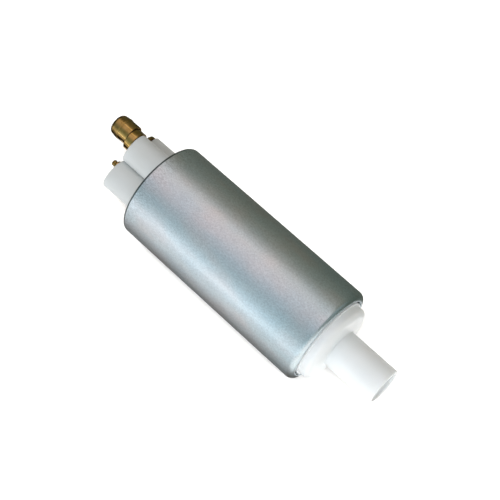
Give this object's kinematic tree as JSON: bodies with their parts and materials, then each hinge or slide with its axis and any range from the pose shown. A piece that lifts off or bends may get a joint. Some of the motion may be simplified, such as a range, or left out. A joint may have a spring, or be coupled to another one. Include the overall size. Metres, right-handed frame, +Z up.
{
  "type": "fuel pump",
  "caption": "Cylindrical electric fuel pump with a crimped steel can, a barbed brass outlet nozzle and stud terminals at one end and a straight plastic inlet spigot at the other.",
  "frame": {"origin": "on the pump's axis, at the middle of the can, where a clamp band holds it", "axes": "+X along the axis towards the inlet spigot, +Z up as the pump lies on its side"},
  "size_m": [0.1357, 0.038, 0.038],
  "materials": {
    "zinc_plated_steel": "satin, fine drawn grain",
    "white_nylon": "matt moulded",
    "white_acetal": "smooth moulded",
    "turned_brass": "bright turned",
    "ground_steel": "ground",
    "spring_steel": "drawn wire",
    "copper_graphite": "pressed and sintered",
    "lamination_steel": "stacked sheet",
    "enamelled_copper": "enamelled wire",
    "ferrite": "sintered",
    "sintered_bronze": "porous",
    "die_cast_aluminium": "die cast",
    "black_phenolic": "moulded",
    "nitrile_rubber": "moulded"
  },
  "bodies": {
    "pump_body": {"can": "zinc_plated_steel", "outlet_cover": "white_nylon", "inlet_cover": "white_acetal", "outlet_bush": "turned_brass", "outlet_nozzle": "turned_brass", "terminal_negative": "turned_brass", "terminal_positive": "turned_brass", "valve_spring": "spring_steel", "relief_seat": "turned_brass", "relief_spring": "spring_steel", "brush_spring_negative": "spring_steel", "brush_spring_positive": "spring_steel", "magnet_front": "ferrite", "magnet_back": "ferrite", "magnet_clip_front": "spring_steel", "magnet_clip_back": "spring_steel", "bearing_outlet": "sintered_bronze", "bearing_inlet": "sintered_bronze", "pump_outlet_plate": "die_cast_aluminium", "pump_inlet_plate": "die_cast_aluminium", "thrust_button": "ground_steel", "cover_seal_outlet": "nitrile_rubber", "cover_seal_inlet": "nitrile_rubber"},
    "rotor": {"shaft": "ground_steel", "armature_core": "lamination_steel", "armature_winding": "enamelled_copper", "commutator": "copper_graphite", "impeller": "black_phenolic"},
    "negative_brush": {"brush_negative": "copper_graphite"},
    "positive_brush": {"brush_positive": "copper_graphite"},
    "check_valve": {"valve_poppet": "black_phenolic"},
    "relief_valve": {"relief_ball": "ground_steel"}
  },
  "joints": [
    {"name": "rotor_spin", "type": "hinge", "parent": "pump_body", "child": "rotor", "pos_m": [0, 0, 0], "axis": [1, 0, 0], "continuous": true},
    {"name": "negative_brush_slide", "type": "slide", "parent": "pump_body", "child": "negative_brush", "axis": [1, 0, 0], "range_m": [-0.003, 0], "stiffness_N_per_m": 150, "springref_m": 0.01, "deforming": ["brush_spring_negative"]},
    {"name": "positive_brush_slide", "type": "slide", "parent": "pump_body", "child": "positive_brush", "axis": [1, 0, 0], "range_m": [-0.003, 0], "stiffness_N_per_m": 150, "springref_m": 0.01, "deforming": ["brush_spring_positive"]},
    {"name": "check_valve_slide", "type": "slide", "parent": "pump_body", "child": "check_valve", "axis": [-1, 0, 0], "range_m": [0, 0.0015], "stiffness_N_per_m": 100, "springref_m": -0.005, "deforming": ["valve_spring"]},
    {"name": "relief_valve_slide", "type": "slide", "parent": "pump_body", "child": "relief_valve", "axis": [-1, 0, 0], "range_m": [0, 0.0008], "stiffness_N_per_m": 400, "springref_m": -0.005, "deforming": ["relief_spring"]}
  ]
}
